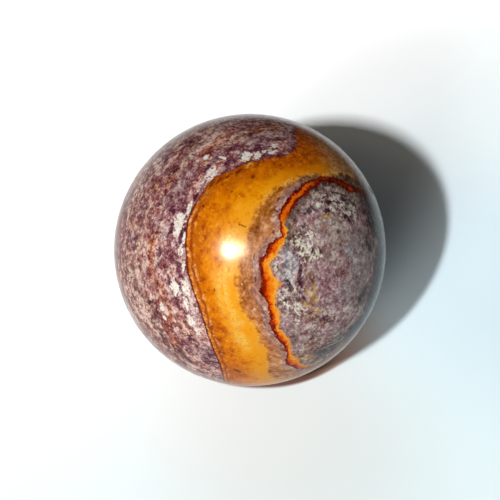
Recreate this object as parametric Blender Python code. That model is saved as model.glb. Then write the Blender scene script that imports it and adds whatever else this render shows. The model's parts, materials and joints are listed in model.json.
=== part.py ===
"""Polished bumblebee jasper sphere: one solid ball of banded stone, ground round and resting on a tiny flat.

Metres, +Z up. The origin is the point where the ball rests, in the middle of that flat.
"""

import math

import bmesh
import bpy
from mathutils import Vector

# Driving dimensions
DIAMETER = 0.050
REST_FLAT_RADIUS = 0.00275

# How finely the round surface is cut
MERIDIANS = 96
PARALLELS = 48

# Polished stone, the mean of its amber band and its lilac and grey grounds
STONE_COLOUR = (0.42, 0.19, 0.09, 1.0)
STONE_ROUGHNESS = 0.12


def remove_scene_objects():
    """Clears the scene that the script starts in."""
    for thing in list(bpy.data.objects):
        bpy.data.objects.remove(thing, do_unlink=True)


def stone_material():
    """A plain glossy stone, without its bands."""
    material = bpy.data.materials.new("polished_jasper")
    material.use_nodes = True
    shader = material.node_tree.nodes["Principled BSDF"]
    shader.inputs["Base Color"].default_value = STONE_COLOUR
    shader.inputs["Roughness"].default_value = STONE_ROUGHNESS
    shader.inputs["Metallic"].default_value = 0.0
    material.diffuse_color = STONE_COLOUR
    return material


def grind_rest_flat(ball, radius, height):
    """Cuts the ball off level at the given height above its lowest point and closes the cut with one face."""
    lowest = Vector((0.0, 0.0, height - radius))
    everything = ball.verts[:] + ball.edges[:] + ball.faces[:]
    cut = bmesh.ops.bisect_plane(ball, geom=everything, plane_co=lowest, plane_no=(0.0, 0.0, -1.0), clear_outer=True)
    rim = [part for part in cut["geom_cut"] if isinstance(part, bmesh.types.BMEdge)]
    bmesh.ops.contextual_create(ball, geom=rim)


def build_sphere(material):
    """The whole stone: a ball that stands on its flat at the origin."""
    radius = DIAMETER / 2
    flat_height = radius - math.sqrt(radius**2 - REST_FLAT_RADIUS**2)

    ball = bmesh.new()
    bmesh.ops.create_uvsphere(ball, u_segments=MERIDIANS, v_segments=PARALLELS, radius=radius)
    grind_rest_flat(ball, radius, flat_height)
    bmesh.ops.translate(ball, verts=ball.verts, vec=(0.0, 0.0, radius - flat_height))
    bmesh.ops.recalc_face_normals(ball, faces=ball.faces)

    mesh = bpy.data.meshes.new("jasper_sphere")
    ball.to_mesh(mesh)
    ball.free()
    mesh.shade_smooth()
    mesh.set_sharp_from_angle(angle=math.radians(20.0))
    mesh.materials.append(material)

    sphere = bpy.data.objects.new("jasper_sphere", mesh)
    bpy.context.scene.collection.objects.link(sphere)
    return sphere


remove_scene_objects()
build_sphere(stone_material())
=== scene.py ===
import json
import math
import random

import bmesh
import bpy
from mathutils import Matrix, Vector, noise

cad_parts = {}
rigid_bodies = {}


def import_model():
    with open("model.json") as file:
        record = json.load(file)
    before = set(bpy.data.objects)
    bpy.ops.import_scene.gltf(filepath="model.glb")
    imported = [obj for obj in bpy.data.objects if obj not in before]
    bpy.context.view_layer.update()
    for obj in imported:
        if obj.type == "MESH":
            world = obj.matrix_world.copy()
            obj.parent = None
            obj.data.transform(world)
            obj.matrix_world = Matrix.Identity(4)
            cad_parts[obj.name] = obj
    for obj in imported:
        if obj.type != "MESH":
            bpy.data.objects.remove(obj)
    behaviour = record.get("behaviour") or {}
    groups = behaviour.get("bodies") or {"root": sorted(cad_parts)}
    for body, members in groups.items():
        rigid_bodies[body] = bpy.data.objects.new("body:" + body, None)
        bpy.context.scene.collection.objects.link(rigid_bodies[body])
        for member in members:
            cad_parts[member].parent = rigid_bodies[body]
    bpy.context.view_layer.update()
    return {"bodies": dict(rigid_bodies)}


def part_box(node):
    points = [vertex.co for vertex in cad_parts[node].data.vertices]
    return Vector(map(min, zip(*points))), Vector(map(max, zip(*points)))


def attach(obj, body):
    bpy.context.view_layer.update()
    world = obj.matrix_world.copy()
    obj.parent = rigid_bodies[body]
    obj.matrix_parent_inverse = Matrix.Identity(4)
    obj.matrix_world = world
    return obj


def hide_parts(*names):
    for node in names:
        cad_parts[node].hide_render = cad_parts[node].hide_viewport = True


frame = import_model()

# The ball is one lump of banded volcanic stone, ground round between cups and polished until it shines. Its
# layers lie round a core like an onion's skins, and the grinding cut through them. The core comes out at the
# front right. It is aimed by its heading, its rise and the turn of the layers round it, in degrees.
BALL = "jasper_sphere"
LOWEST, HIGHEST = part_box(BALL)
RADIUS = (HIGHEST.x - LOWEST.x) / 2
CENTRE = Vector((0.0, 0.0, HIGHEST.z - RADIUS))

CORE_HEADING = -42.6
CORE_RISE = 39.0
LAYER_TURN = -116.8

core_heading = Matrix.Rotation(math.radians(CORE_HEADING), 3, "Z")
core_rise = Matrix.Rotation(math.radians(90.0 - CORE_RISE), 3, "Y")
layer_turn = Matrix.Rotation(math.radians(LAYER_TURN), 3, "Z")
layer_frame = core_heading @ core_rise @ layer_turn

# The edges between layers. Each point is degrees round the core and degrees out from it. The vein is a thin
# orange sheet next to the core, and the band is the broad amber layer.
VEIN_INSIDE = (
    (0, 52), (15, 50), (45, 43), (65, 36.5), (77, 33.0), (85, 31.4), (95, 32.2), (105, 33.1), (110, 32.9),
    (115, 31.8), (125, 30.7), (132, 29.3), (140, 28.6), (150, 27.7), (155, 27.6), (160, 27.0),
    (163, 25.4), (166, 24.8), (170, 24), (175, 24.5), (185, 25.2), (189, 26.4), (193, 27.3), (197, 27.2),
    (201, 26), (205, 25.4), (209, 24.6), (212, 23.7), (215, 24.4), (219, 26.2), (223, 26.8), (227, 28),
    (235, 28.7), (242, 29.8), (246, 32), (251, 32.3), (255, 32.6), (260, 33.8), (263, 35), (267, 36.8),
    (271, 38.9), (275, 40.4), (278, 41.8), (283, 44.5), (287, 46.5), (293, 47.6), (300, 47), (312, 42.5),
    (325, 42), (340, 45), (360, 52),
)
VEIN_OUTSIDE = (
    (0, 55), (15, 53), (45, 47), (65, 40), (77, 36.4), (85, 35.3), (95, 35.8), (105, 36.0), (115, 34.8),
    (125, 34.3), (135, 33.1), (145, 32.3), (155, 31.4), (158, 30.7), (160, 29.4), (163, 28.5),
    (167, 27.3), (171, 26.4), (174, 27.4), (177, 28.8), (181, 29.5), (185, 29.8), (189, 30.6),
    (193, 31.9), (196, 31.8), (200, 31), (205, 31), (209, 31.2), (212, 32), (215, 32.4), (219, 31.6),
    (225, 31), (230, 31.7), (235, 32.4), (240, 33.9), (245, 34.8), (250, 35.6), (255, 36.3), (260, 37.3),
    (265, 38.9), (268, 40.5), (271, 43.4), (273, 45.2), (277, 46.9), (281, 47.7), (285, 49.1),
    (290, 50.6), (295, 51), (302, 50), (312, 45.8), (325, 45.4), (340, 48.4), (360, 55),
)
BAND_INSIDE = (
    (0, 61), (15, 58), (45, 51), (65, 44.5), (75, 42), (85, 40), (90, 39.6), (95, 38), (105, 36.4),
    (115, 36.8), (125, 37.1), (135, 37.6), (145, 38.2), (155, 38.6), (175, 38.3), (185, 38.4),
    (195, 38.9), (205, 39.4), (215, 40), (225, 40), (233, 39.2), (240, 39.5), (245, 40.8), (255, 42.6),
    (260, 45), (265, 48.7), (270, 53.5), (275, 57), (285, 60), (300, 62), (320, 63), (340, 62), (360, 61),
)
BAND_OUTSIDE = (
    (0, 86), (40, 90), (70, 89), (85, 84), (95, 76), (101, 69), (105, 63.5), (108, 59), (110.5, 54.5),
    (113, 51.3), (117, 49.5), (121, 48.2), (125, 47.9), (130, 49.3), (135, 50.8), (141, 53.3),
    (146, 54.4), (151, 56.2), (155, 58.8), (159, 60.2), (165, 60.8), (175, 61.4), (181, 61.7),
    (190, 60.3), (200, 58.8), (210, 57.3), (220, 56.7), (227, 57.3), (235, 58.7), (242, 60.4),
    (248, 62.8), (253, 65.5), (257, 68.5), (262, 72.5), (267, 77), (273, 82), (280, 86), (295, 88),
    (320, 86), (340, 85), (360, 86),
)


def layer_point(around, out):
    """The unit vector, in the layers' frame, to a place so many degrees round the core and out from it."""
    turn = math.radians(around - 180.0)
    lean = math.radians(out)
    return Vector((math.sin(lean) * math.cos(turn), math.sin(lean) * math.sin(turn), math.cos(lean)))


# The shape: hand grinding leaves the ball a few hundredths of a millimetre out of round. The porous layers
# keep tiny pits that the polish can't close, and a knock has flaked the right side. Lengths are in metres.
FACE_HALVINGS = 7
GRIND_WAVES = ((1.6, 0.00006), (4.5, 0.000022))
PIT_SEED = 5
PIT_COUNT = 70
PIT_WIDTHS = (0.00020, 0.00042)
PIT_DEPTH_SHARE = 0.16
BAND_CLEARANCE = 2.0
FLAKE_PLACE = (57.0, 48.5)
FLAKE_WIDTH = 0.0012
FLAKE_DEPTH = 0.00014
FINE_FACES_REACH = 1.6
FINE_FACES_MARGIN = 0.012
REST_EDGE = 35.0


def ground_depth(direction):
    """How far the grinding went below a true ball in one direction, in metres."""
    depth = 0.0
    for waves, height in GRIND_WAVES:
        depth += height * (0.5 + 0.5 * noise.noise(direction * waves))
    return depth


def edge_at(points, around):
    """The angle of one edge out from the core at one place round it."""
    for (turn, out), (next_turn, next_out) in zip(points, points[1:]):
        if turn <= around <= next_turn:
            return out + (next_out - out) * (around - turn) / (next_turn - turn)


def scatter_pits():
    """Directions, widths and depths of the pits and of the flake."""
    chance = random.Random(PIT_SEED)
    flake = layer_frame @ layer_point(*FLAKE_PLACE)
    pits = [(flake, FLAKE_WIDTH, FLAKE_DEPTH)]
    for _ in range(PIT_COUNT):
        local = Vector((chance.gauss(0, 1), chance.gauss(0, 1), chance.gauss(0, 1))).normalized()
        width = chance.uniform(*PIT_WIDTHS)
        around = math.degrees(math.atan2(local.y, local.x)) + 180.0
        out = math.degrees(math.acos(local.z))
        if not edge_at(BAND_INSIDE, around) - BAND_CLEARANCE < out < edge_at(BAND_OUTSIDE, around):
            pits.append((layer_frame @ local, width, width * PIT_DEPTH_SHARE))
    return pits


def cut_finer(ball, pits):
    """Cuts the faces round each pit finer, so that the pit has room for its shape."""
    for direction, width, _ in pits:
        reach = math.cos(FINE_FACES_REACH * width / RADIUS + FINE_FACES_MARGIN)
        edges = {edge for vert in ball.verts if vert.co.dot(direction) > reach for edge in vert.link_edges}
        bmesh.ops.subdivide_edges(ball, edges=list(edges), cuts=2, use_grid_fill=True)
    for vert in ball.verts:
        vert.co.normalize()


def ground_ball():
    """The hand-ground ball: almost round, pitted, and level underneath."""
    ball = bmesh.new()
    bmesh.ops.create_icosphere(ball, subdivisions=FACE_HALVINGS, radius=1.0)
    pits = scatter_pits()
    cut_finer(ball, pits)
    bmesh.ops.triangulate(ball, faces=ball.faces)
    hollow = ball.verts.layers.float.new("hollow")
    for vert in ball.verts:
        direction = vert.co.normalized()
        vert.co = CENTRE + direction * (RADIUS - ground_depth(direction))
        for middle, width, depth in pits:
            away = (direction - middle).length * RADIUS / width
            if away < 1.0:
                fall = (1.0 - away**2) ** 2
                vert.co -= direction * depth * fall
                vert[hollow] = max(vert[hollow], fall)
    everything = ball.verts[:] + ball.edges[:] + ball.faces[:]
    rest = Vector((0.0, 0.0, LOWEST.z))
    down = Vector((0.0, 0.0, -1.0))
    cut = bmesh.ops.bisect_plane(ball, geom=everything, plane_co=rest, plane_no=down, clear_outer=True)
    rim = [part for part in cut["geom_cut"] if isinstance(part, bmesh.types.BMEdge)]
    bmesh.ops.contextual_create(ball, geom=rim)
    bmesh.ops.recalc_face_normals(ball, faces=ball.faces)
    mesh = bpy.data.meshes.new("polished_ball")
    ball.to_mesh(mesh)
    ball.free()
    mesh.shade_smooth()
    mesh.set_sharp_from_angle(angle=math.radians(REST_EDGE))
    return mesh


class Wire:
    """One number of a material, so that what varies over a surface is written as a Python expression."""

    def __init__(self, recipe, socket):
        self.recipe = recipe
        self.socket = socket

    def through(self, operation, *others):
        """This number put through one operation, with others if it takes them."""
        return self.recipe.node("Math", {"operation": operation}, dict(enumerate((self,) + others)))

    def second_through(self, operation, other):
        """The same, with this number as the second one."""
        return self.recipe.node("Math", {"operation": operation}, {0: other, 1: self})

    def __add__(self, other):
        return self.through("ADD", other)

    def __sub__(self, other):
        return self.through("SUBTRACT", other)

    def __mul__(self, other):
        return self.through("MULTIPLY", other)

    def __truediv__(self, other):
        return self.through("DIVIDE", other)

    def __rsub__(self, other):
        return self.second_through("SUBTRACT", other)

    def __rtruediv__(self, other):
        return self.second_through("DIVIDE", other)

    __radd__ = __add__
    __rmul__ = __mul__


class Recipe:
    """The nodes of one material."""

    def __init__(self, name):
        self.material = bpy.data.materials.new(name)
        self.material.use_nodes = True
        self.tree = self.material.node_tree
        self.shader = self.tree.nodes["Principled BSDF"]

    def node(self, kind, settings, sockets, output=0):
        """Adds a node: its settings first, then the values or wires of its sockets."""
        made = self.tree.nodes.new("ShaderNode" + kind)
        for name, value in settings.items():
            if name == "curve":
                points = made.mapping.curves[0].points
                while len(points) < len(value):
                    points.new(0.5, 0.5)
                for point, place in zip(points, value):
                    point.location = place
                made.mapping.update()
            elif name == "stops":
                while len(made.color_ramp.elements) < len(value):
                    made.color_ramp.elements.new(0.5)
                for element, (position, colour) in zip(made.color_ramp.elements, value):
                    element.position = position
                    element.color = colour
            else:
                setattr(made, name, value)
        for name, value in sockets.items():
            self.set(made.inputs[name], value)
        return Wire(self, made.outputs[output])

    def set(self, socket, value):
        """Gives one socket a value or a wire."""
        if isinstance(value, Wire):
            self.tree.links.new(value.socket, socket)
        else:
            socket.default_value = value

    def feed(self, name, value):
        """Gives one socket of the shader a value or a wire."""
        self.set(self.shader.inputs[name], value)

    def vector(self, operation, first, second, output=0):
        """Two vectors put through one operation."""
        return self.node("VectorMath", {"operation": operation}, {0: first, 1: second}, output)

    def parts(self, vector):
        """The three numbers of a vector."""
        made = self.node("SeparateXYZ", {}, {0: vector})
        return [Wire(self, socket) for socket in made.socket.node.outputs]

    def mix(self, share, first, second, blend="MIX"):
        """One colour laid over another where share is 1."""
        settings = {"data_type": "RGBA", "blend_type": blend}
        return self.node("Mix", settings, {0: share, 6: first, 7: second}, 2)

    def step(self, value, start, end):
        """0 before start, 1 after end, with a smooth rise between them."""
        sockets = {"Value": value, "From Min": start, "From Max": end}
        return self.node("MapRange", {"interpolation_type": "SMOOTHSTEP"}, sockets)

    def ramp(self, value, stops):
        """A colour for each value, from stops of a position and a colour."""
        return self.node("ValToRGB", {"stops": stops}, {0: value})

    def grain(self, place, scale, detail=3.0, rough=0.6, depth=None):
        """Cloudy noise round 0, about -1 to 1. A depth through the layers stretches it along them."""
        sockets = {"Vector": place, "Scale": scale, "Detail": detail, "Roughness": rough}
        if depth is not None:
            sockets["W"] = depth
        kind = "3D" if depth is None else "4D"
        return (self.node("TexNoise", {"noise_dimensions": kind}, sockets) - 0.5) * 4.0

    def stir(self, place, scale, amount, detail=2.0):
        """The place moved about at random by up to about amount, in lumps of 1 / scale."""
        sockets = {"Vector": place, "Scale": scale, "Detail": detail, "Roughness": 0.6}
        push = self.vector("SUBTRACT", self.node("TexNoise", {}, sockets, 1), (0.5, 0.5, 0.5))
        settings = {"operation": "MULTIPLY_ADD"}
        return self.node("VectorMath", settings, {0: push, 1: (4.0 * amount,) * 3, 2: place})


# The stone's colour. Shades are given as they look where the lamp shines straight on the stone, on a scale
# of 0 to 255. There the stone looks this much brighter than its own colour.
LAMP_GAIN = 3.4


def seen(red, green, blue):
    """The stone's own colour, from how it looks under the lamp."""
    colour = []
    for part in (red, green, blue):
        share = part / 255
        light = share / 12.92 if share <= 0.04045 else ((share + 0.055) / 1.055) ** 2.4
        colour.append(light / LAMP_GAIN)
    return (*colour, 1.0)


GRAIN_STOPS = (0.12, 0.36, 0.50, 0.64, 0.88)


def shaded(value, stops):
    """The stone's own colour for each value, from stops of a position and a shade."""
    return stone.ramp(value, [(position, seen(*shade)) for position, shade in stops])


def speckle(value, shades):
    """Five shades from dark to light, spread over a grain that runs from about -1 to 1."""
    return shaded(value * 0.5 + 0.5, zip(GRAIN_STOPS, shades))


FULL_TURN = 360.0
CURVE_TOP = 100.0


def layer_edge(around, points):
    """The angle of one edge out from the core, in degrees, at each place round it."""
    curve = [(turn / FULL_TURN, out / CURVE_TOP) for turn, out in points]
    return stone.node("FloatCurve", {"curve": curve}, {"Factor": 1.0, "Value": around}) * CURVE_TOP


def sweep(start, end, sway=None):
    """0 at one heading round the core and 1 at another, in degrees. A grain makes the change uneven."""
    return stone.step(around if sway is None else around + sway, start / FULL_TURN, end / FULL_TURN)


SPOT_REACH = 2.5


def spots(place, places):
    """How far each point lies from the nearest spot, in halves of that spot's size, up to SPOT_REACH.

    A spot is degrees round the core, degrees out from it, and half its size along the layers and across
    them, in degrees. Grain is added to the distance, and a step then leaves a patch with an uneven rim.
    """
    nearest = None
    for around, out, half_along, half_across in places:
        middle = layer_point(around, out)
        along = Vector((0.0, 0.0, 1.0)).cross(middle).normalized()
        across = along.cross(middle)
        turned = Matrix((across, along, middle)).transposed().to_euler()
        size = [SPOT_REACH * math.sin(math.radians(half)) for half in (half_across, half_along)]
        sockets = {"Vector": place, "Location": middle, "Rotation": turned, "Scale": (*size, 1.0)}
        local = stone.node("Mapping", {"vector_type": "TEXTURE"}, sockets)
        near = stone.node("TexGradient", {"gradient_type": "SPHERICAL"}, {"Vector": local}, 1)
        nearest = near if nearest is None else nearest.through("MAXIMUM", near)
    return (1.0 - nearest) * SPOT_REACH


stone = Recipe("banded_jasper")
own_place = stone.node("TexCoord", {}, {}, 3)
in_layers = {
    "Vector": own_place, "Location": CENTRE, "Rotation": layer_frame.to_euler(), "Scale": (RADIUS,) * 3,
}
place = stone.node("Mapping", {"vector_type": "TEXTURE"}, in_layers)

# Where each point is among the layers: degrees round the core as a share of a turn, and degrees out from it.
# The place is stirred first, so that every edge wanders by up to half a millimetre.
wavy = stone.stir(place, scale=5.0, amount=0.006)
ragged = stone.stir(wavy, scale=16.0, amount=0.0045, detail=4.0)
x, y, z = stone.parts(stone.vector("NORMALIZE", ragged, (0.0, 0.0, 0.0)))
around = y.through("ARCTAN2", x) / math.tau + 0.5
out = z.through("ARCCOSINE") * math.degrees(1.0)
depth = stone.parts(stone.stir(place, scale=3.0, amount=0.02))[2].through("ARCCOSINE")
vein_in = layer_edge(around, VEIN_INSIDE)
vein_out = layer_edge(around, VEIN_OUTSIDE)
band_in = layer_edge(around, BAND_INSIDE)
band_out = layer_edge(around, BAND_OUTSIDE)

# The grains that all layers share, from fine to coarse. A depth draws a grain out along the layers.
fine = stone.grain(ragged, scale=26.0, detail=4.0, rough=0.65, depth=depth * 0.5)
flecks = stone.grain(ragged, scale=60.0, detail=2.0, rough=0.6, depth=depth * 0.3)
blotches = stone.grain(ragged, scale=10.0, detail=4.0, rough=0.65, depth=depth * 1.2)
clouds = stone.grain(ragged, scale=3.2, detail=2.0, rough=0.5, depth=depth)
lumps = stone.grain(ragged, scale=13.0, detail=4.0, rough=0.65)
tinge = stone.grain(ragged, scale=8.0, detail=4.0, rough=0.7, depth=3.0)
warmth = stone.grain(ragged, scale=6.0, detail=5.0, rough=0.7, depth=9.0)
crumbled = stone.stir(place, scale=55.0, amount=0.007, detail=2.0)
crystals = stone.node("TexVoronoi", {}, {"Vector": crumbled, "Scale": 30.0}, 1)
chips = (stone.parts(crystals)[0] - 0.5) * 1.6
grain_rims = stone.grain(ragged, scale=20.0, detail=3.0, rough=0.55, depth=4.0).through("ABSOLUTE")
outlines = stone.step(grain_rims, 0.20, 0.03)
hair_lines = stone.grain(ragged, scale=34.0, detail=2.0, rough=0.5, depth=6.0).through("ABSOLUTE")
curls = stone.step(hair_lines, 0.22, 0.04)

# The core: lilac-grey ash, cloudy, with cream specks in rows and a few larger cream and pale patches.
BUSY_SPOTS = ((104, 25.3, 10, 4.5), (85, 22, 7, 6), (168, 17, 6, 7), (225, 22, 9, 6), (283, 23, 6, 5))
busy = stone.step(spots(ragged, BUSY_SPOTS) + lumps * 0.2, 1.3, 0.6)
core_grain = (fine * 0.8 + blotches * 0.35 + flecks * 0.55 + chips * 0.25) * (0.95 + busy * 0.5) + 0.07
LILAC_SHADES = ((102, 56, 64), (147, 107, 109), (170, 134, 136), (192, 162, 160), (234, 214, 204))
core = speckle(core_grain, LILAC_SHADES)
DRAB_SHADES = ((92, 66, 57), (137, 115, 104), (160, 141, 130), (184, 166, 155), (232, 220, 198))
drab = speckle(core_grain, DRAB_SHADES)
core = stone.mix(stone.step(tinge, -0.15, 0.35) * 0.85, core, drab)

# Clouds of plain grey, mauve and dark slate in the core. The slate is partly the stone's own and, in the
# large clouds along the ball's right edge as the camera sees it, painted shade.
GREY_SPOTS = ((35, 14, 11, 8), (322, 12, 8, 6), (352, 16, 8, 5))
grey = stone.step(spots(ragged, GREY_SPOTS) + lumps * 0.3, 1.3, 0.5)
GREY_SHADES = ((104, 91, 93), (140, 127, 127), (159, 146, 146), (178, 167, 165), (214, 206, 202))
grey_ash = speckle(core_grain * 0.85, GREY_SHADES)
core = stone.mix(grey * 0.7, core, grey_ash)
MAUVE_SPOTS = ((264, 8, 6, 5), (205, 6, 4, 4), (295, 16, 4, 4), (135, 21, 4, 3), (298, 22, 2.5, 2.5))
mauve = stone.step(spots(ragged, MAUVE_SPOTS) + lumps * 0.3, 1.3, 0.5)
MAUVE_SHADES = ((98, 43, 69), (144, 90, 109), (169, 119, 132), (194, 153, 160), (234, 210, 208))
core = stone.mix(mauve * 0.55, core, speckle(core_grain, MAUVE_SHADES))
SLATE_AND_SHADE_SPOTS = (
    (39, 20.5, 4, 2.6), (341, 22, 6, 2.4), (8, 29, 20, 5.5), (300, 39, 9, 4.5), (325, 36, 14, 6),
    (50, 32, 12, 7),
)
# Painted shade: the large slate clouds darken the ball's right edge.
slate_and_painted_shade = stone.step(spots(ragged, SLATE_AND_SHADE_SPOTS) + lumps * 0.35, 1.3, 0.5)
SLATE_SHADES = ((36, 30, 34), (56, 50, 54), (74, 68, 72), (98, 92, 94), (146, 138, 136))
slate_and_shade_ash = speckle(core_grain * 0.8, SLATE_SHADES)
core = stone.mix(slate_and_painted_shade * 0.8, core, slate_and_shade_ash)

# Pale and burnt patches in the core, and scorched ash along the upper vein.
PALE_SPOTS = (
    (194.5, 19.8, 4.6, 3.2), (205, 21.0, 4.0, 2.2), (184, 22.0, 3.0, 1.8), (213, 20.5, 2.6, 1.6),
    (22, 10.5, 3.5, 2.2), (314, 19.7, 2.2, 2.0), (62, 8, 3, 2),
)
pale = stone.step(spots(ragged, PALE_SPOTS) + fine * 0.5 + flecks * 0.3, 1.2, 0.5)
PALE_SHADES = ((98, 92, 100), (138, 132, 140), (166, 161, 167), (198, 194, 194), (240, 238, 230))
pale_ash = speckle(core_grain, PALE_SHADES)
core = stone.mix(pale * 0.8, core, pale_ash)
BURNT_SPOTS = (
    (262, 22, 5, 3), (288, 21.5, 2.6, 1.8), (160, 24, 4, 1.6), (211, 12.4, 2.6, 1.6),
    (207, 13.6, 2.4, 1.4), (283, 34, 5, 4),
)
burnt = stone.step(spots(ragged, BURNT_SPOTS) + fine * 0.5 + flecks * 0.3, 1.25, 0.4)
BURNT_SHADES = ((66, 32, 22), (108, 66, 46), (138, 92, 68), (164, 120, 90), (206, 170, 132))
core = stone.mix(burnt * 0.65, core, speckle(core_grain, BURNT_SHADES))
scorched = stone.step(vein_in - out + fine * 0.9 + lumps * 0.6, 4.4, 0.8) * sweep(195, 165)
SCORCHED_SHADES = ((50, 28, 26), (80, 58, 48), (100, 78, 64), (124, 102, 82), (176, 150, 112))
core = stone.mix(scorched * 0.8, core, speckle(core_grain, SCORCHED_SHADES))

# Cream specks in the core, and dark clots and lines between them.
CORE_CREAM_SPOTS = (
    (168.9, 15.1, 2.1, 2.4), (165, 10.6, 1.8, 1.8), (164, 20, 1.6, 1.5), (170, 18.4, 1.7, 1.8),
    (176, 16.5, 1.9, 1.3), (180, 13.2, 1.9, 1.3), (243, 21.4, 2.8, 1.9), (253, 26.0, 1.8, 0.9),
    (310, 19.2, 1.6, 1.2), (104, 25.6, 2.8, 1.2), (96, 23.8, 1.6, 0.8), (120, 24.5, 2.6, 0.7),
    (110, 22.4, 1.4, 0.7), (79.5, 25.0, 1.8, 1.4), (92, 21.5, 3.0, 1.3), (150, 17, 1.6, 1.8),
    (188, 14.5, 1.4, 0.9), (196, 25.2, 2.5, 0.7), (232, 25, 2.5, 0.8), (222, 19.5, 1.6, 0.7),
)
core_cream = stone.step(spots(ragged, CORE_CREAM_SPOTS) - fine * 0.9 - flecks * 0.9 - chips * 0.3, 1.1, 0.4)
CORE_CREAM_SHADES = ((174, 154, 122), (214, 198, 164), (236, 222, 194), (249, 240, 220), (255, 250, 238))
cream_ash = speckle(core_grain * 0.8, CORE_CREAM_SHADES)
core = stone.mix(core_cream * 0.92, core, cream_ash)
CORE_DARK_SPOTS = (
    (201, 16.0, 3.6, 0.9), (82, 27, 2.6, 2.0), (86, 19.3, 1.8, 1.5), (96, 28.5, 4, 1.0),
    (133, 24, 3.0, 1.2), (220, 17, 3, 0.9), (173, 13.0, 1.6, 0.5), (174, 16.8, 1.4, 0.5),
    (150, 21, 2.0, 1.2), (116, 21.5, 2.2, 1.0), (215, 21, 2.2, 0.7), (236, 18, 3, 0.7),
    (99, 24.8, 2.4, 0.7), (109, 24.6, 2.0, 0.6), (92, 26.6, 2.6, 0.8), (114, 26.8, 2.2, 0.6),
    (88, 22.5, 1.6, 0.8),
)
core = stone.mix(outlines * (0.12 + busy * 0.35) + curls * 0.14, core, seen(78, 50, 58))
core_dark = stone.step(spots(ragged, CORE_DARK_SPOTS) + fine * 0.6 + flecks * 0.5, 1.15, 0.5)
core_clots = stone.step(fine * 0.7 + flecks * 0.6 + lumps * 0.3 - busy * 0.32, -0.72, -1.1)
core_clots = core_clots * (0.3 + busy * 0.7)
CORE_DARK_SHADES = ((40, 20, 32), (60, 32, 44), (74, 42, 52), (92, 58, 64), (128, 90, 88))
core = stone.mix(core_dark.through("MAXIMUM", core_clots) * 0.85, core, speckle(fine, CORE_DARK_SHADES))

# Ochre and rosy stains in the core, and three thin pale marks.
OCHRE_SPOTS = (
    (244, 15.3, 4.4, 1.5), (250, 18.6, 3.4, 1.0), (236, 12.6, 2.4, 0.8), (266, 18.5, 2.2, 1.0),
    (118, 19.5, 2, 1.0), (284, 41, 5, 2),
)
ochre = stone.step(spots(ragged, OCHRE_SPOTS) + flecks * 0.6 + fine * 0.5, 1.35, 0.4)
OCHRE_SHADES = ((128, 84, 30), (170, 122, 62), (196, 150, 88), (214, 176, 116), (240, 214, 168))
core = stone.mix(ochre * 0.8, core, speckle(core_grain, OCHRE_SHADES))
ROSY_SPOTS = ((127, 15.6, 1.8, 1.5), (141, 19.5, 1.6, 1.0), (280, 24, 2.0, 1.5))
rosy = stone.step(spots(ragged, ROSY_SPOTS) + fine * 0.5 + flecks * 0.3, 1.2, 0.2)
core = stone.mix(rosy * 0.5, core, seen(178, 98, 84))
PALE_MARKS = ((302, 36.4, 8.0, 0.35), (288, 31.9, 1.5, 0.4), (318, 30.0, 5.0, 0.3))
pale_marks = stone.step(spots(wavy, PALE_MARKS) + fine * 0.4, 1.3, 0.5)
core = stone.mix(pale_marks * 0.55, core, seen(214, 204, 190))

# The vein: glowing orange inside, with a jagged dark red skin on its outer side.
jags = stone.grain(ragged, scale=28.0, detail=4.0, rough=0.7)
torn = jags * 0.95 + flecks * 0.35
vein_width = vein_out - vein_in
vein_share = (out + torn - vein_in) / vein_width
VEIN_STOPS = (
    (0.0, (224, 140, 60)), (0.14, (255, 182, 66)), (0.36, (252, 146, 22)), (0.56, (234, 92, 2)),
    (0.74, (176, 38, 0)), (0.92, (92, 8, 0)),
)
vein = shaded(vein_share + lumps * 0.18 + fine * 0.14 + flecks * 0.08, VEIN_STOPS)
SEARED_STOPS = (
    (0.0, (84, 14, 4)), (0.24, (134, 18, 0)), (0.42, (222, 88, 4)), (0.58, (246, 120, 18)),
    (0.74, (168, 36, 2)), (0.92, (78, 6, 2)),
)
seared = shaded(vein_share + fine * 0.10 + lumps * 0.08 + flecks * 0.05, SEARED_STOPS)
vein = stone.mix(sweep(166, 150, lumps * 0.012), vein, seared)

# Burnt places in the vein, its dim upper end with one ember, and its faded lower end.
VEIN_BURN_SPOTS = (
    (209.6, 30.3, 3.0, 1.3), (190, 30.8, 2.0, 0.7), (231, 31.8, 2.5, 0.6), (200, 30.4, 2.0, 0.5),
    (243, 33.6, 2, 0.5),
)
burns = stone.step(spots(ragged, VEIN_BURN_SPOTS) + fine * 0.4 + flecks * 0.3, 1.3, 0.5)
VEIN_BURN_SHADES = ((60, 6, 6), (92, 12, 4), (124, 20, 2), (160, 40, 2), (214, 96, 10))
vein = stone.mix(burns * 0.85, vein, speckle(fine + flecks * 0.5, VEIN_BURN_SHADES))
dim = sweep(126, 112)
DIM_VEIN_SHADES = ((44, 4, 3), (72, 6, 2), (104, 12, 2), (134, 26, 4), (176, 64, 18))
vein = stone.mix(dim * 0.9, vein, speckle(fine + flecks * 0.5, DIM_VEIN_SHADES))
EMBER_SPOTS = ((83, 33.2, 1.4, 1.0),)
ember = stone.step(spots(ragged, EMBER_SPOTS) + fine * 0.4, 1.3, 0.5)
vein = stone.mix(ember * 0.8, vein, seen(236, 84, 14))
FADED_VEIN_SHADES = ((96, 58, 34), (128, 86, 54), (148, 106, 76), (168, 130, 102), (206, 174, 146))
vein = stone.mix(sweep(284, 298) * 0.92, vein, speckle(fine, FADED_VEIN_SHADES))
vein = stone.mix(stone.step(flecks + fine * 0.4, 0.7, 1.2) * 0.55, vein, seen(255, 196, 104))
vein = stone.mix(stone.step(flecks * 0.7 - jags * 0.5, -0.7, -1.1) * 0.6, vein, seen(150, 30, 2))

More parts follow.
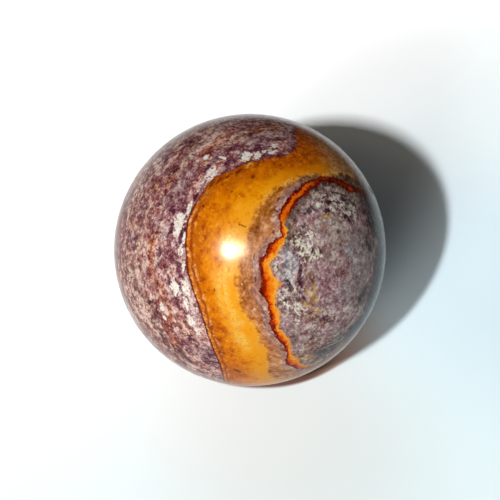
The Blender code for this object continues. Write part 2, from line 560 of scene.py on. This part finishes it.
# The ground between the vein and the band: rosy brown, greyer by the vein, rusty by the band.
bedding = stone.grain(ragged, scale=5.0, detail=3.0, rough=0.55, depth=depth * 8.0)
between_grain = fine * 0.5 + flecks * 0.32 + blotches * 0.3 + lumps * 0.3 + bedding * 0.4
BETWEEN_SHADES = ((136, 68, 22), (176, 106, 56), (196, 128, 78), (214, 148, 100), (244, 196, 152))
between = speckle(between_grain, BETWEEN_SHADES)
UMBER_SHADES = ((104, 52, 12), (146, 84, 24), (172, 106, 36), (196, 130, 54), (232, 178, 104))
umber = speckle(between_grain, UMBER_SHADES)
browner = sweep(186, 164, lumps * 0.02) * stone.step(band_in - out + lumps * 0.6, 5.2, 2.0)
between = stone.mix(browner * 0.85, between, umber)
greyer = stone.step(out - vein_out + fine * 0.9 + lumps * 0.9, 3.9, 1.4)
GREY_BETWEEN_SHADES = ((104, 56, 56), (144, 96, 92), (170, 124, 116), (196, 154, 144), (242, 218, 206))
grey_between = speckle(between_grain, GREY_BETWEEN_SHADES)
between = stone.mix(greyer * 0.75, between, grey_between)
rusty_side = stone.step(band_in - out + fine * 0.8 + lumps * 0.8, 2.6, 0.2)
RUSTY_BETWEEN_SHADES = ((120, 48, 4), (168, 84, 16), (196, 108, 28), (220, 134, 48), (250, 186, 104))
between = stone.mix(rusty_side * 0.6, between, speckle(between_grain, RUSTY_BETWEEN_SHADES))

# Smoky and grey patches beside the vein.
SMOKY_SPOTS = (
    (171, 36.4, 3.6, 1.3), (158, 34.0, 2.4, 1.6), (142, 36.6, 5.0, 1.0), (163, 36.8, 3.0, 0.9),
    (208, 37.6, 2.5, 0.7),
)
smoky = stone.step(spots(ragged, SMOKY_SPOTS) + fine * 0.5 + flecks * 0.3, 1.25, 0.4)
SMOKY_SHADES = ((98, 44, 4), (138, 72, 10), (164, 90, 14), (186, 112, 30), (216, 154, 80))
between = stone.mix(smoky * 0.75, between, speckle(between_grain, SMOKY_SHADES))
GREY_PATCH_SPOTS = (
    (139, 33.8, 7.0, 0.8), (186, 31.2, 2.2, 0.9), (197, 33.0, 4.5, 1.1), (230, 33.8, 8, 1.0),
)
grey_patches = stone.step(spots(ragged, GREY_PATCH_SPOTS) + fine * 0.5, 1.2, 0.4)
GREY_PATCH_SHADES = ((90, 56, 58), (128, 94, 92), (150, 116, 112), (178, 148, 142), (224, 204, 194))
between = stone.mix(grey_patches * 0.45, between, speckle(between_grain, GREY_PATCH_SHADES))

# White crystals and dark dots beside the vein, and the olive brown of its upper end.
SPARK_SPOTS = (
    (170.5, 27.5, 1.8, 0.8), (227, 32.7, 1.0, 0.5), (225, 36, 0.6, 0.4), (211, 35.5, 0.6, 0.35),
    (246, 36.7, 1.0, 0.6), (161, 31.6, 1.0, 1.3), (207, 38.0, 0.6, 0.3), (196.5, 33.6, 0.5, 0.3),
    (231, 34.2, 0.6, 0.5), (239, 36.4, 1.0, 0.4),
)
sparks = stone.step(spots(ragged, SPARK_SPOTS) - flecks * 0.8 - fine * 0.6, 1.3, 0.4)
between = stone.mix(sparks * 0.5, between, seen(248, 220, 194))
salted = stone.step(out - vein_out + lumps, 3.6, 1.2)
salted = salted * stone.step(flecks * 0.8 + fine * 0.3 + chips * 0.2, 0.55, 1.0)
between = stone.mix(salted * 0.7, between, seen(252, 232, 216))
DARK_DOT_SPOTS = (
    (170.0, 29.5, 0.7, 0.6), (205, 33.0, 1.0, 0.5), (147, 34.6, 1.5, 0.5), (190, 33.8, 1.2, 0.4),
    (155, 32.6, 0.5, 1.0),
)
dark_dots = stone.step(spots(ragged, DARK_DOT_SPOTS) + flecks * 0.4, 1.3, 0.5)
between = stone.mix(dark_dots * 0.8, between, seen(84, 34, 34))
olive_end = sweep(140, 112, lumps * 0.015)
OLIVE_SHADES = ((44, 22, 12), (78, 50, 24), (104, 74, 40), (134, 100, 60), (190, 158, 104))
between = stone.mix(olive_end * 0.8, between, speckle(fine + flecks * 0.5, OLIVE_SHADES))

# The band: amber, palest along its inner edge and browner outwards, with fine dark specks.
band_share = (out - band_in) / (band_out - band_in)
band_shift = blotches * 0.18 + clouds * 0.05 + lumps * 0.22 + fine * 0.18 + flecks * 0.12
upper = sweep(172, 140)
BAND_STOPS = (
    (0.0, (246, 164, 40)), (0.16, (250, 164, 22)), (0.36, (242, 148, 4)), (0.58, (226, 126, 0)),
    (0.80, (204, 102, 0)), (1.0, (166, 72, 0)),
)
band = shaded(band_share + upper * 0.10 + band_shift * (0.55 + band_share), BAND_STOPS)

# Golden and rusty clouds in the band, with glints and soot.
GOLDEN_SPOTS = (
    (184, 43.5, 6, 4.0), (212, 46, 11, 3.2), (240, 47, 7, 3), (143, 52, 2.0, 1.0), (199, 43, 4, 3),
    (226, 44.5, 7, 2.6),
)
golden = stone.step(spots(ragged, GOLDEN_SPOTS) + lumps * 0.4 + fine * 0.3, 1.35, 0.3)
GOLDEN_SHADES = ((234, 142, 22), (250, 176, 48), (255, 194, 72), (255, 206, 92), (255, 222, 128))
band = stone.mix(golden * 0.75, band, speckle(fine * 0.9 + flecks * 0.7 + lumps * 0.3, GOLDEN_SHADES))
BAND_RUST_SPOTS = (
    (155, 51.6, 7.5, 2.6), (163, 57.5, 6.0, 1.6), (113, 47, 9, 6), (115, 48.5, 6, 3.5), (104, 52, 6, 8),
    (183, 56.6, 6, 1.2), (199, 54.5, 6, 1.2), (126, 43.5, 5, 1.6), (139, 44.5, 5, 2.4),
    (149, 47.6, 4, 1.8), (216, 54.5, 5, 1.2), (205, 40.5, 2.5, 0.8), (236, 56.5, 6, 1.6),
    (168, 48.6, 2.2, 1.2), (258, 62, 6, 3),
)
band_rust = stone.step(spots(ragged, BAND_RUST_SPOTS) + lumps * 0.45 + fine * 0.45 + flecks * 0.2, 1.3, 0.4)
BAND_RUST_SHADES = ((132, 50, 0), (168, 74, 0), (188, 90, 0), (208, 110, 4), (236, 150, 36))
band = stone.mix(band_rust * 0.62, band, speckle(fine * 0.8 + flecks * 0.7, BAND_RUST_SHADES))
rust_clouds = stone.step(lumps * 0.8 + blotches * 0.4 + fine * 0.55 + flecks * 0.35, 0.20, 1.1)
band = stone.mix(rust_clouds * (0.35 + band_share * 0.65) * 0.9, band, seen(160, 68, 0))
glints = stone.step(fine * 0.7 + flecks * 0.8, -0.35, -1.1) * (0.45 + band_share * 0.25)
band = stone.mix(glints, band, seen(255, 196, 80))
soot = stone.step(flecks + fine * 0.4, 0.8, 1.25) * (0.25 + band_share * 0.5)
band = stone.mix(soot, band, seen(110, 44, 4))

# Dark specks in the band. Its upper end turns rusty, and tan where it runs out of sight.
BAND_DARK_SPOTS = (
    (147, 47.4, 1.2, 1.0), (132.5, 47.0, 0.9, 0.8), (130.3, 45.2, 0.9, 0.6), (125, 46.2, 1.8, 0.5),
    (139, 50.2, 1.4, 0.5), (258, 60.7, 2.4, 0.8), (159.5, 50, 0.5, 0.4), (186, 50.3, 0.5, 0.35),
    (209.5, 49.2, 0.8, 0.4), (173.6, 40.8, 0.3, 1.5), (167, 59.8, 2.8, 0.8), (160, 59.0, 2.2, 0.8),
    (171, 57.6, 1.2, 0.9), (176, 58.6, 1.0, 0.7), (153, 55.5, 2.2, 1.0), (157, 57.4, 2.6, 0.8),
    (149, 53.2, 2.2, 0.7), (143, 51.6, 1.8, 0.6), (120, 46.2, 2.4, 0.6), (113, 50.0, 3.0, 0.8),
    (136, 51.0, 2.4, 0.6), (116, 43.6, 1.6, 0.5), (108, 46.5, 1.8, 0.6),
)
band_dark = stone.step(spots(ragged, BAND_DARK_SPOTS) - flecks * 0.6 + fine * 0.3, 1.2, 0.3)
band = stone.mix(band_dark * 0.8, band, seen(92, 30, 6))
high_rust = sweep(150, 116, lumps * 0.01) * (0.45 + band_share * 0.55)
HIGH_RUST_SHADES = ((130, 40, 0), (172, 66, 0), (198, 86, 0), (220, 110, 4), (246, 154, 40))
band = stone.mix(high_rust * 0.85, band, speckle(fine * 0.8 + flecks * 0.7 + lumps * 0.4, HIGH_RUST_SHADES))
FAR_END_SHADES = ((146, 94, 50), (190, 136, 82), (214, 162, 104), (230, 184, 128), (248, 220, 174))
band = stone.mix(sweep(107, 88) * 0.65, band, speckle(fine + flecks * 0.6, FAR_END_SHADES))

# The band's outer edge: a dark maroon skin, then broken peach and rust lines inside it. Higher up it frays.
edge_noise = stone.grain(ragged, scale=20.0, detail=4.0, rough=0.65)
lined = sweep(160, 176, edge_noise * 0.01)
frayed = sweep(158, 140) * (edge_noise * 1.5 + flecks * 0.7)
inward = band_out - out + fine * 0.35 + flecks * 0.25 + frayed
wandering = inward + lumps * 0.9 + edge_noise * 0.5
peach = stone.step(inward, 0.5, 1.0) * stone.step(wandering, 2.6, 1.6) * stone.step(edge_noise, -0.6, 0.2)
peach = peach * (0.12 + lined * 0.88)
PEACH_SHADES = ((186, 88, 16), (214, 116, 34), (232, 138, 54), (246, 168, 90), (255, 214, 156))
band = stone.mix(peach * 0.8, band, speckle(flecks + fine * 0.5, PEACH_SHADES))
rust_line = stone.step(wandering, 1.6, 2.3) * stone.step(wandering, 3.4, 2.5)
rust_line = rust_line * stone.step(edge_noise, 0.9, 0.0)
band = stone.mix(rust_line * lined * 0.7, band, seen(150, 58, 10))
inner_peach = stone.step(wandering, 2.8, 3.3) * stone.step(wandering, 4.6, 3.7)
inner_peach = inner_peach * stone.step(edge_noise + flecks * 0.4, -0.1, 0.5)
band = stone.mix(inner_peach * lined * 0.7, band, seen(246, 180, 104))
skin = stone.step(inward, 1.0, 0.4)
band = stone.mix(skin * (0.35 + lined * 0.55), band, seen(98, 30, 20))
crumbs = stone.step(out - band_in + edge_noise * 0.8 + flecks * 0.5, 1.6, 0.2)
crumbs = crumbs * stone.step(flecks + lumps * 0.8, -0.1, 0.7)
band = stone.mix(crumbs * 0.6, band, seen(253, 200, 100))

# The outer ground: rosy lilac-grey ash in grains drawn out along the layers, with plum clots and rust and
# cream patches.
beyond = out - band_out - frayed
mottle = fine * 0.65 + blotches * 0.5 + flecks * 0.62 + lumps * 0.42 + chips * 0.42 + clouds * 0.3 + 0.09
GROUND_SHADES = ((108, 42, 44), (156, 90, 86), (184, 125, 118), (208, 156, 146), (244, 212, 196))
ground = speckle(mottle, GROUND_SHADES)
VIOLET_SHADES = ((78, 28, 52), (128, 76, 88), (162, 116, 122), (196, 153, 152), (238, 214, 206))
violet_ground = speckle(mottle, VIOLET_SHADES)
ground = stone.mix(stone.step(tinge, -0.1, 0.4) * 0.8, ground, violet_ground)
SANDY_SHADES = ((108, 68, 48), (150, 112, 86), (178, 142, 114), (206, 176, 146), (246, 230, 196))
sandy_ground = speckle(mottle, SANDY_SHADES)
sandy = stone.step(warmth, 0.0, -0.6) * stone.step(beyond, 8.0, 18.0)
ground = stone.mix(sandy * 0.75, ground, sandy_ground)
RUSTY_SHADES = ((92, 34, 18), (140, 72, 44), (172, 102, 68), (202, 140, 104), (242, 206, 174))
rusty_ground = speckle(mottle, RUSTY_SHADES)
rusty = stone.step(warmth, 0.0, 0.6) * stone.step(beyond, 3.0, 10.0)
ground = stone.mix(rusty * 0.85, ground, rusty_ground)

# Grey mist and streaks of rust and maroon in the outer ground.
MIST_SPOTS = ((166, 71, 10, 4.5), (243, 64, 8, 5), (150, 66, 5, 2.5), (186, 70.5, 4, 2.5), (128, 60, 8, 4))
mist = stone.step(spots(ragged, MIST_SPOTS) + lumps * 0.3, 1.3, 0.5)
MIST_SHADES = ((92, 60, 68), (136, 100, 106), (160, 130, 132), (186, 160, 158), (226, 206, 200))
ground = stone.mix(mist * 0.6, ground, speckle(mottle * 0.8, MIST_SHADES))
RUST_SPOTS = (
    (191.5, 76.0, 4.5, 2.4), (199.0, 75.5, 4.0, 1.6), (220, 70.6, 4.0, 1.4), (224.5, 74.6, 3.0, 2.2),
    (142.5, 71.5, 8, 2.8), (166, 77.5, 4.0, 1.3), (234, 76.5, 5.0, 3.0), (211, 72.0, 4.5, 1.2),
    (152, 67.6, 3.5, 1.0), (206, 74.0, 4.0, 1.0), (118, 66, 8, 2),
)
rust = stone.step(spots(ragged, RUST_SPOTS) + fine * 0.6 + lumps * 0.5 + flecks * 0.35, 1.6, 0.5)
RUST_SHADES = ((106, 38, 20), (150, 68, 40), (176, 92, 60), (200, 124, 90), (236, 184, 152))
ground = stone.mix(rust * 0.85, ground, speckle(mottle, RUST_SHADES))
MAROON_SPOTS = (
    (219, 79.0, 4.5, 3.2), (231.5, 81.5, 7.5, 3.6), (160.5, 80, 2.6, 3.6), (179.5, 81, 2.6, 3.0),
    (240, 76, 3.0, 4.5), (145, 80, 4, 3),
)
maroon = stone.step(spots(ragged, MAROON_SPOTS) + fine * 0.5 + lumps * 0.5 + flecks * 0.2, 1.4, 0.5)
MAROON_SHADES = ((56, 20, 26), (90, 42, 42), (116, 64, 60), (148, 94, 84), (206, 160, 144))
ground = stone.mix(maroon * 0.85, ground, speckle(mottle, MAROON_SHADES))

# Plum clots and dark lacing in the outer ground, and a dark fringe along the band.
PLUM_SPOTS = (
    (194.0, 72.0, 3.2, 1.8), (205.5, 67.6, 3.6, 1.5), (184.5, 67.8, 2.8, 1.4), (179.5, 73.8, 3.6, 0.9),
    (187.0, 63.3, 2.4, 0.9), (200, 62.3, 4.6, 1.3), (165, 61.6, 6.0, 0.8), (141.5, 58.3, 7.0, 1.7),
    (155, 64.8, 2.4, 0.9), (176.0, 69.5, 3.0, 1.2), (209, 62.5, 3.0, 0.6), (214, 65.5, 2.6, 1.4),
    (133, 57.0, 5.0, 1.4), (170, 66.5, 1.6, 1.6), (120.5, 57.5, 5.0, 1.3), (196.0, 65.5, 2.0, 1.2),
    (149, 59.5, 2.5, 1.2), (232, 66.5, 2.4, 0.9), (160, 68.0, 1.4, 1.2), (186.5, 76.0, 0.8, 1.8),
)
plum = stone.step(spots(ragged, PLUM_SPOTS) + fine * 0.5 + flecks * 0.35 + lumps * 0.25, 1.3, 0.45)
clots = stone.step(lumps * 0.75 + fine * 0.5 + flecks * 0.3, -0.45, -0.95)
PLUM_SHADES = ((56, 16, 42), (84, 32, 58), (104, 47, 68), (124, 67, 83), (163, 113, 118))
ground = stone.mix(plum.through("MAXIMUM", clots) * 0.8, ground, speckle(fine + flecks * 0.6, PLUM_SHADES))
lacing = outlines * stone.step(blotches + lumps * 0.5, 0.6, -0.3) * 0.75
lacing = lacing + curls * stone.step(tinge, -0.4, 0.4) * 0.4
LACING_SHADES = ((60, 20, 38), (82, 38, 54), (100, 54, 66), (120, 72, 80), (150, 106, 108))
ground = stone.mix(lacing, ground, speckle(fine, LACING_SHADES))
fringe = stone.step(beyond + fine * 0.9 + lumps * 0.7, 2.6, 0.4) * sweep(212, 200)
FRINGE_SHADES = ((64, 24, 38), (92, 42, 52), (112, 60, 68), (140, 88, 92), (196, 156, 150))
ground = stone.mix(fringe * 0.55, ground, speckle(mottle, FRINGE_SHADES))

# Light flecks, and tan and cream patches, in the outer ground.
light_flecks = stone.step(fine * 0.7 + lumps * 0.4 + flecks * 0.6 + chips * 0.2, 0.85, 1.3)
ground = stone.mix(light_flecks * 0.6, ground, seen(238, 214, 196))
TAN_SPOTS = (
    (191.5, 79.4, 1.8, 1.2), (200, 79.8, 2.4, 2.4), (207.5, 77.6, 0.9, 1.5), (204, 84, 3, 2),
    (216, 85, 4, 1.6), (211, 68, 2.6, 1.2), (225, 86, 2, 2),
)
tan = stone.step(spots(ragged, TAN_SPOTS) - fine * 0.5 - flecks * 0.3, 1.2, 0.5)
TAN_SHADES = ((170, 120, 104), (198, 154, 136), (214, 174, 154), (228, 194, 174), (246, 224, 204))
ground = stone.mix(tan * 0.7, ground, speckle(fine + flecks * 0.5, TAN_SHADES))
CREAM_SPOTS = (
    (181.5, 65.0, 4.2, 2.3), (179.5, 64.5, 2.8, 2.0), (173.5, 62.9, 2.2, 1.2), (186.5, 61.5, 2.8, 0.7),
    (191.5, 62.3, 2.8, 1.2), (208.0, 60.0, 3.8, 1.8), (207.7, 64.8, 3.6, 2.2), (214.5, 61.4, 3.0, 1.1),
    (223, 61.8, 2.7, 1.5), (229.2, 61.4, 2.1, 1.2), (216.3, 73.8, 1.7, 0.9), (221, 74.3, 1.3, 0.9),
    (155.5, 62.0, 2.9, 2.2), (147, 63, 0.8, 1.9), (140, 56, 3.0, 2.1), (134.5, 53.4, 3.6, 1.4),
    (124.5, 54.0, 2.4, 1.0), (128, 51.5, 2.4, 0.8), (150, 68.7, 1.5, 0.9), (198, 60.2, 2.0, 0.7),
)
cream = stone.step(spots(ragged, CREAM_SPOTS) - fine * 0.45 - flecks * 0.4 - chips * 0.1, 1.1, 0.65)
CREAM_SHADES = ((214, 180, 160), (246, 226, 206), (255, 245, 228), (255, 251, 240), (255, 254, 248))
cream_colour = speckle(flecks + fine * 0.6, CREAM_SHADES)
ground = stone.mix(cream * 0.95, ground, cream_colour)
ground = stone.mix(cream * curls * 0.3, ground, seen(110, 62, 74))

# The layers laid over one another from the core outwards.
past_core = stone.step(out + torn * 1.25 - vein_in, -0.6, 0.4)
colour = stone.mix(past_core, core, vein)
past_vein = stone.step(out + torn * 0.9 - vein_out, -0.25, 0.25)
colour = stone.mix(past_vein, colour, between)
into_band = stone.step(out - band_in + fine * 1.1 + lumps * 0.9 + flecks * 0.5, -1.3, 1.0)
colour = stone.mix(into_band, colour, band)
past_band = stone.step(beyond, -0.2, 0.2)
colour = stone.mix(past_band, colour, ground)
hollow = stone.node("Attribute", {"attribute_name": "hollow"}, {}, 2)
# The pits are coloured dark brown.
colour = stone.mix(stone.step(hollow, 0.2, 0.8) * 0.6, colour, seen(70, 40, 34))
stone.feed("Base Color", colour)

# The polish: glossy, a little duller on the coarse grains and dull in the pits, with a faint soft bloom.
POLISH = 0.20
GRAIN_DULLNESS = 0.05
PIT_DULLNESS = 0.3
MIRROR_SHARE = 0.065
BLOOM = 0.04
BLOOM_ROUGHNESS = 0.26
dull = POLISH + stone.step(fine, 0.0, 1.4) * GRAIN_DULLNESS + stone.step(hollow, 0.0, 0.5) * PIT_DULLNESS
stone.feed("Roughness", dull)
stone.feed("Specular IOR Level", MIRROR_SHARE)
stone.feed("Coat Weight", BLOOM)
stone.feed("Coat Roughness", BLOOM_ROUGHNESS)

ball_mesh = ground_ball()
ball_mesh.materials.append(stone.material)
ball = bpy.data.objects.new("polished_ball", ball_mesh)
bpy.context.scene.collection.objects.link(ball)
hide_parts(BALL)
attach(ball, "root" if "root" in frame["bodies"] else sorted(frame["bodies"])[0])

# The stage: a level sheet of white paper under the ball, seen from above and a little askew by a camera held
# close. A small lamp beside the camera throws the shadow, and a weak wide one lights the ball's lower side.
# Distances named RADII are in radii of the ball, angles in degrees and lamp sizes in metres.
VIEW_RISE = 42.0
VIEW_ROLL = 22.0
VIEW_RADII = 7.0
BALL_IN_PICTURE = 136.3
PICTURE = 500.0
FILM = 36.0
NEAREST = 0.01

rise = math.radians(VIEW_RISE)
roll = math.radians(VIEW_ROLL)
slope = Vector((0.0, math.sin(rise), math.cos(rise)))
back = Vector((0.0, -math.cos(rise), math.sin(rise)))
right = math.cos(roll) * Vector((1.0, 0.0, 0.0)) + math.sin(roll) * slope
up = back.cross(right)
view = Matrix((right, up, back)).transposed()

camera_data = bpy.data.cameras.new("camera")
camera_data.sensor_width = FILM
camera_data.lens = FILM * BALL_IN_PICTURE * math.sqrt(VIEW_RADII**2 - 1) / PICTURE
camera_data.clip_start = NEAREST
camera = bpy.data.objects.new("camera", camera_data)
camera.matrix_world = Matrix.Translation(CENTRE + back * VIEW_RADII * RADIUS) @ view.to_4x4()
bpy.context.scene.collection.objects.link(camera)
bpy.context.scene.camera = camera

LAMP_PLACE = Vector((-0.262, -0.030, 0.964))
LAMP_RADII = 10.9
LAMP_ACROSS = 0.0062
LAMP_TALL = 0.0130
LAMP_WATTS = 1.5
FILL_HEADING = 259.0
FILL_RISE = 14.0
FILL_RADII = 14.0
FILL_ACROSS = 0.11
FILL_TALL = 0.10
FILL_WATTS = 1.7

# The gleams only show as reflections, and widen the lamp's highlight into a glare. Each is a name, its shift
# from the lamp to the right and up, its size across and tall, and its watts.
GLEAM_TINT = (1.0, 0.9, 0.66)
GLEAMS = (
    ("wide_gleam", 0.050, 0.041, 0.080, 0.036, 3.0),
    ("small_gleam", -0.030, 0.090, 0.030, 0.024, 0.42),
)


def area_lamp(name, place, across, tall, watts):
    """A flat lamp that faces the ball. Its light stays as strong as it is at the ball, near and far."""
    data = bpy.data.lights.new(name, "AREA")
    data.shape = "RECTANGLE"
    data.size = across
    data.size_y = tall
    data.energy = watts
    data.use_nodes = True
    even = data.node_tree.nodes.new("ShaderNodeLightFalloff")
    even.inputs["Strength"].default_value = 1.0 / (place - CENTRE).length_squared
    data.node_tree.links.new(even.outputs["Constant"], data.node_tree.nodes["Emission"].inputs["Strength"])
    lamp = bpy.data.objects.new(name, data)
    towards = (place - CENTRE).normalized()
    side = up.cross(towards).normalized()
    turned = Matrix((side, towards.cross(side), towards)).transposed()
    lamp.matrix_world = Matrix.Translation(place) @ turned.to_4x4()
    bpy.context.scene.collection.objects.link(lamp)
    return lamp


lamp_place = CENTRE + view @ LAMP_PLACE * LAMP_RADII * RADIUS
area_lamp("key_lamp", lamp_place, LAMP_ACROSS, LAMP_TALL, LAMP_WATTS)
fill_heading = math.radians(FILL_HEADING)
fill_rise = math.radians(FILL_RISE)
level = Vector((math.cos(fill_heading), math.sin(fill_heading), 0.0))
fill_way = level * math.cos(fill_rise) + Vector((0.0, 0.0, math.sin(fill_rise)))
fill = area_lamp("fill_lamp", CENTRE + fill_way * FILL_RADII * RADIUS, FILL_ACROSS, FILL_TALL, FILL_WATTS)
fill.visible_glossy = False
for name, shift_right, shift_up, across, tall, watts in GLEAMS:
    way = (LAMP_PLACE + Vector((shift_right, shift_up, 0.0))).normalized()
    gleam = area_lamp(name, CENTRE + view @ way * LAMP_RADII * RADIUS, across, tall, watts)
    gleam.visible_diffuse = False
    gleam.data.color = GLEAM_TINT

# The paper is darker and bluish towards the lower right of the picture as painted shade, and faintly tinted
# in two
# patches: painted shade right of the ball and a painted warm glow from the stone at its lower right. Its
# whiteness grows away from the lamp, so that the slanting light leaves it even, and fades far out as painted
# fall-off of the light. In the shadow, close to where the ball rests, it is painted a darker warm brown as
# painted shadow.
PAPER_FAR = 13.9
PAPER_WHITE = 0.86
PAPER_ROUGHNESS = 0.9
LIGHT_REACH = (22.0, 10.0)
LEAST_LIGHT = 0.1
PLAIN = (1.0, 1.0, 1.0, 1.0)
SLANT_DOWN = 1.4
SLANT_ENDS = (-2.4, 1.6)
PAINTED_SLANT_SHADE = (0.62, 0.74, 0.77, 1.0)
# Painted light on the paper: a patch of painted shade right of the ball, and a painted warm glow from the
# stone at its lower right.
PAINTED_SHADE_AND_GLOW_PATCHES = (
    (Vector((2.3, 2.2, 0.0)), 2.6, 0.6, (0.86, 0.90, 0.95, 1.0)),
    (Vector((0.75, -0.60, 0.0)), 1.8, 0.3, (0.95, 0.86, 0.83, 1.0)),
)
SHADOW_RIM = (1.065, 1.035)
RIM_SHIFT = 0.075
RIM_SHIFT_ENDS = (0.65, 1.4)
# Painted shadow: a warm brown and a dark brown laid into the paper inside the shadow near where the ball
# rests.
PAINTED_CONTACT_SHADOWS = ((1.8, 0.9, (0.42, 0.26, 0.20, 1.0)), (1.15, 0.8, (0.09, 0.03, 0.02, 1.0)))
REST = (0.0, 0.0, 0.0)

paper_recipe = Recipe("white_paper")
spot = paper_recipe.node("TexCoord", {}, {}, 3)
whiteness = paper_recipe.vector("DISTANCE", spot, lamp_place, 1) * (PAPER_WHITE / (PAPER_FAR * RADIUS))
from_ball = paper_recipe.vector("DISTANCE", spot, CENTRE, 1) / RADIUS
whiteness = whiteness * (paper_recipe.step(from_ball, *LIGHT_REACH) * (1.0 - LEAST_LIGHT) + LEAST_LIGHT)
# Painted shade: the paper darker and bluish towards the lower right of the picture.
slant = paper_recipe.vector("DOT_PRODUCT", spot, (right - up * SLANT_DOWN).normalized() / RADIUS, 1)
paper_painted_light = paper_recipe.mix(paper_recipe.step(slant, *SLANT_ENDS), PLAIN, PAINTED_SLANT_SHADE)
# The patches of painted shade and painted glow.
for patch_place, wide, narrow, painted_patch_colour in PAINTED_SHADE_AND_GLOW_PATCHES:
    from_patch = paper_recipe.vector("DISTANCE", spot, patch_place * RADIUS, 1) / RADIUS
    paper_painted_light = paper_recipe.mix(paper_recipe.step(from_patch, wide, narrow), paper_painted_light, painted_patch_colour, "MULTIPLY")
to_lamp = paper_recipe.vector("SUBTRACT", lamp_place, spot)
lamp_way = paper_recipe.vector("NORMALIZE", to_lamp, REST)
ball_way = paper_recipe.vector("SUBTRACT", CENTRE, spot)
across_light = paper_recipe.vector("CROSS_PRODUCT", ball_way, lamp_way)
miss = paper_recipe.vector("LENGTH", across_light, REST, 1)
from_rest = paper_recipe.vector("DISTANCE", spot, REST, 1) / RADIUS
rim = miss / RADIUS + paper_recipe.step(from_rest, *RIM_SHIFT_ENDS) * RIM_SHIFT
in_shadow = paper_recipe.step(rim, *SHADOW_RIM)
# Painted shadow: the paper darkened to warm and dark brown in the shadow close to where the ball rests.
for far, near, painted_shadow_colour in PAINTED_CONTACT_SHADOWS:
    paper_painted_light = paper_recipe.mix(in_shadow * paper_recipe.step(from_rest, far, near), paper_painted_light, painted_shadow_colour)
level_white = paper_recipe.node("CombineXYZ", {}, {0: whiteness, 1: whiteness, 2: whiteness})
paper_recipe.feed("Base Color", paper_recipe.mix(1.0, paper_painted_light, level_white, "MULTIPLY"))
paper_recipe.feed("Roughness", PAPER_ROUGHNESS)

PAPER_HALF = 1.0
PAPER_DROP = 0.00002
sheet = bmesh.new()
bmesh.ops.create_grid(sheet, x_segments=1, y_segments=1, size=PAPER_HALF)
bmesh.ops.translate(sheet, verts=sheet.verts, vec=(0.0, 0.0, -PAPER_DROP))
paper_mesh = bpy.data.meshes.new("paper")
sheet.to_mesh(paper_mesh)
sheet.free()
paper_mesh.materials.append(paper_recipe.material)
paper = bpy.data.objects.new("paper", paper_mesh)
bpy.context.scene.collection.objects.link(paper)

ROOM_LIGHT = (1.0, 0.96, 0.94, 1.0)
ROOM_STRENGTH = 0.075
world = bpy.data.worlds.new("studio")
world.use_nodes = True
room = world.node_tree.nodes["Background"]
room.inputs["Color"].default_value = ROOM_LIGHT
room.inputs["Strength"].default_value = ROOM_STRENGTH
bpy.context.scene.world = world
bpy.context.scene.view_settings.view_transform = "Standard"
